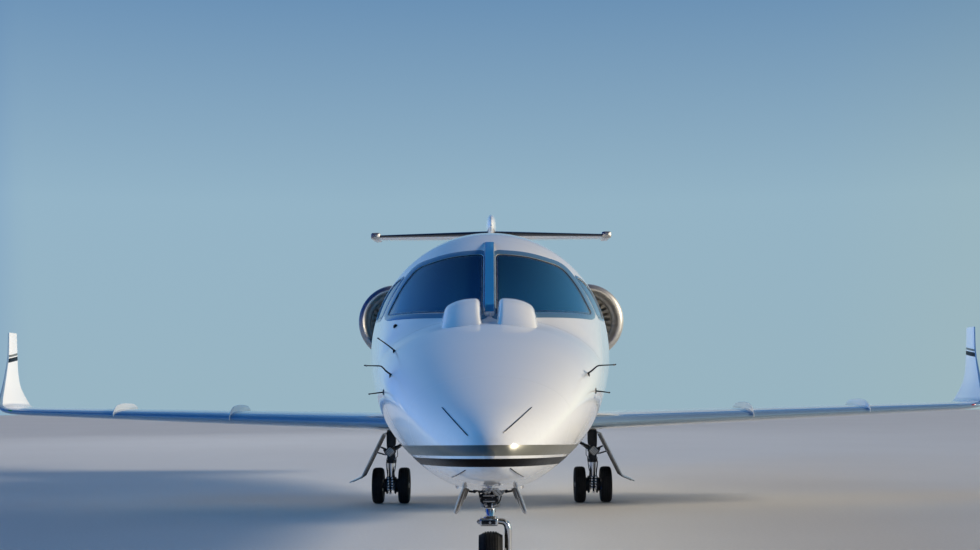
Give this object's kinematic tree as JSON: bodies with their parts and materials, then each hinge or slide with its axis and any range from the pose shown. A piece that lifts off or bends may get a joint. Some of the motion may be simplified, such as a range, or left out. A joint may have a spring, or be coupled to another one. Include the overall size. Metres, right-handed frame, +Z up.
{
  "type": "twin-engined business jet, full size, parked on its gear",
  "caption": "Low-winged business jet with a T-tail, rear engines, winglets, wing fences and twin-wheel main gear, parked on its wheels with doors shut.",
  "frame": {"origin": "on the ground under the middle of the aircraft's box", "axes": "+Z up, nose towards -Y, +X towards the aircraft's left wing"},
  "size_m": [13.2016, 17.86, 4.585],
  "materials": {
    "white_paint": "gloss white aircraft paint",
    "window_glass": "dark tinted glass",
    "cabin_carpet": "short pile carpet",
    "panel_plastic": "matt black",
    "seat_leather": "soft pale leather",
    "engine_metal": "dark titanium",
    "gear_paint": "grey enamel",
    "bright_metal": "polished",
    "tyre_rubber": "smooth rubber"
  },
  "bodies": {
    "airframe": {"belly_fairing": "white_paint", "cabin_floor": "cabin_carpet", "cabin_seats": "seat_leather", "cabin_shell": "white_paint", "cabin_windows_left": "window_glass", "cabin_windows_right": "window_glass", "cockpit_shell": "white_paint", "cockpit_side_window_left": "window_glass", "cockpit_side_window_right": "window_glass", "crew_seats": "seat_leather", "engine_core_left": "engine_metal", "engine_core_right": "engine_metal", "fin": "white_paint", "instrument_panel": "panel_plastic", "main_gear_door_left": "white_paint", "main_gear_door_right": "white_paint", "main_leg_left": "gear_paint", "main_leg_right": "gear_paint", "nacelle_left": "white_paint", "nacelle_right": "white_paint", "nose_gear_door_left": "white_paint", "nose_gear_door_right": "white_paint", "nose_leg": "gear_paint", "nose_section": "white_paint", "radome": "white_paint", "stabilizer": "white_paint", "tail_section": "white_paint", "ventral_fin_left": "white_paint", "ventral_fin_right": "white_paint", "windshield_left": "window_glass", "windshield_post": "white_paint", "windshield_right": "window_glass", "wing_left": "white_paint", "wing_right": "white_paint", "winglet_left": "white_paint", "winglet_right": "white_paint"},
    "entry_door_upper": {"entry_door_upper": "white_paint"},
    "entry_door_lower": {"entry_door_lower": "white_paint"},
    "baggage_door": {"baggage_door": "white_paint"},
    "rudder": {"rudder": "white_paint"},
    "nose_steering": {"nose_fork": "bright_metal"},
    "nose_wheel": {"nose_tyre": "tyre_rubber", "nose_rim": "bright_metal"},
    "aileron_left": {"aileron_left": "white_paint"},
    "flap_left": {"flap_left": "white_paint"},
    "spoiler_left": {"spoiler_left": "white_paint"},
    "elevator_left": {"elevator_left": "white_paint"},
    "fan_left": {"fan_left": "engine_metal"},
    "main_wheels_left": {"main_rims_left": "bright_metal", "main_tyre_left_inner": "tyre_rubber", "main_tyre_left_outer": "tyre_rubber"},
    "aileron_right": {"aileron_right": "white_paint"},
    "flap_right": {"flap_right": "white_paint"},
    "spoiler_right": {"spoiler_right": "white_paint"},
    "elevator_right": {"elevator_right": "white_paint"},
    "fan_right": {"fan_right": "engine_metal"},
    "main_wheels_right": {"main_rims_right": "bright_metal", "main_tyre_right_inner": "tyre_rubber", "main_tyre_right_outer": "tyre_rubber"}
  },
  "joints": [
    {"name": "entry_door_upper_hinge", "type": "hinge", "parent": "airframe", "child": "entry_door_upper", "pos_m": [0.72792, -4.71, 2.436], "axis": [0, -1, 0], "range_deg": [0, 95]},
    {"name": "entry_door_lower_hinge", "type": "hinge", "parent": "airframe", "child": "entry_door_lower", "pos_m": [0.75687, -4.71, 1.048], "axis": [0, 1, 0], "range_deg": [0, 110]},
    {"name": "baggage_door_hinge", "type": "hinge", "parent": "airframe", "child": "baggage_door", "pos_m": [0.75523, 2.585, 1.3535], "axis": [-0.1756, 0.9845, 0], "range_deg": [0, 110]},
    {"name": "rudder_hinge", "type": "hinge", "parent": "airframe", "child": "rudder", "pos_m": [0, 7.355, 3.54], "axis": [0, 0.6898, 0.724], "range_deg": [-30, 30]},
    {"name": "nose_steer", "type": "hinge", "parent": "airframe", "child": "nose_steering", "pos_m": [0, -6.98, 0.56], "axis": [0, 0, 1], "range_deg": [-60, 60]},
    {"name": "nose_wheel_spin", "type": "hinge", "parent": "nose_steering", "child": "nose_wheel", "pos_m": [0, -6.945, 0.2285], "axis": [1, 0, 0], "continuous": true},
    {"name": "aileron_left_hinge", "type": "hinge", "parent": "airframe", "child": "aileron_left", "pos_m": [4.805, 1.26774, 1.13534], "axis": [0.9939, 0.1065, 0.0274], "range_deg": [-20, 20]},
    {"name": "flap_left_hinge", "type": "hinge", "parent": "airframe", "child": "flap_left", "pos_m": [2.515, 1.04363, 1.02595], "axis": [0.994, 0.1041, 0.0335], "range_deg": [-40, 0]},
    {"name": "spoiler_left_hinge", "type": "hinge", "parent": "airframe", "child": "spoiler_left", "pos_m": [2.25, 0.6429, 1.13766], "axis": [0.9894, 0.1445, 0.0179], "range_deg": [0, 55]},
    {"name": "elevator_left_hinge", "type": "hinge", "parent": "airframe", "child": "elevator_left", "pos_m": [1.115, 8.39408, 4.22446], "axis": [0.9646, 0.2622, 0.0298], "range_deg": [-20, 20]},
    {"name": "fan_left_spin", "type": "hinge", "parent": "airframe", "child": "fan_left", "pos_m": [1.31, 2.09, 2.34], "axis": [0, 1, 0], "continuous": true},
    {"name": "main_wheels_left_spin", "type": "hinge", "parent": "airframe", "child": "main_wheels_left", "pos_m": [1.26, 0.51, 0.2225], "axis": [1, 0, 0], "continuous": true},
    {"name": "aileron_right_hinge", "type": "hinge", "parent": "airframe", "child": "aileron_right", "pos_m": [-4.805, 1.26774, 1.13534], "axis": [0.9939, -0.1065, -0.0274], "range_deg": [-20, 20]},
    {"name": "flap_right_hinge", "type": "hinge", "parent": "airframe", "child": "flap_right", "pos_m": [-2.515, 1.04363, 1.02595], "axis": [0.994, -0.1041, -0.0335], "range_deg": [-40, 0]},
    {"name": "spoiler_right_hinge", "type": "hinge", "parent": "airframe", "child": "spoiler_right", "pos_m": [-2.25, 0.6429, 1.13766], "axis": [0.9894, -0.1445, -0.0179], "range_deg": [0, 55]},
    {"name": "elevator_right_hinge", "type": "hinge", "parent": "airframe", "child": "elevator_right", "pos_m": [-1.115, 8.39408, 4.22446], "axis": [0.9646, -0.2622, -0.0298], "range_deg": [-20, 20]},
    {"name": "fan_right_spin", "type": "hinge", "parent": "airframe", "child": "fan_right", "pos_m": [-1.31, 2.09, 2.34], "axis": [0, -1, 0], "continuous": true},
    {"name": "main_wheels_right_spin", "type": "hinge", "parent": "airframe", "child": "main_wheels_right", "pos_m": [-1.26, 0.51, 0.2225], "axis": [1, 0, 0], "continuous": true}
  ],
  "couplings": [
    {"joint": "aileron_right_hinge", "follows": "aileron_left_hinge", "ratio": -1},
    {"joint": "flap_right_hinge", "follows": "flap_left_hinge", "ratio": 1},
    {"joint": "elevator_right_hinge", "follows": "elevator_left_hinge", "ratio": 1}
  ]
}
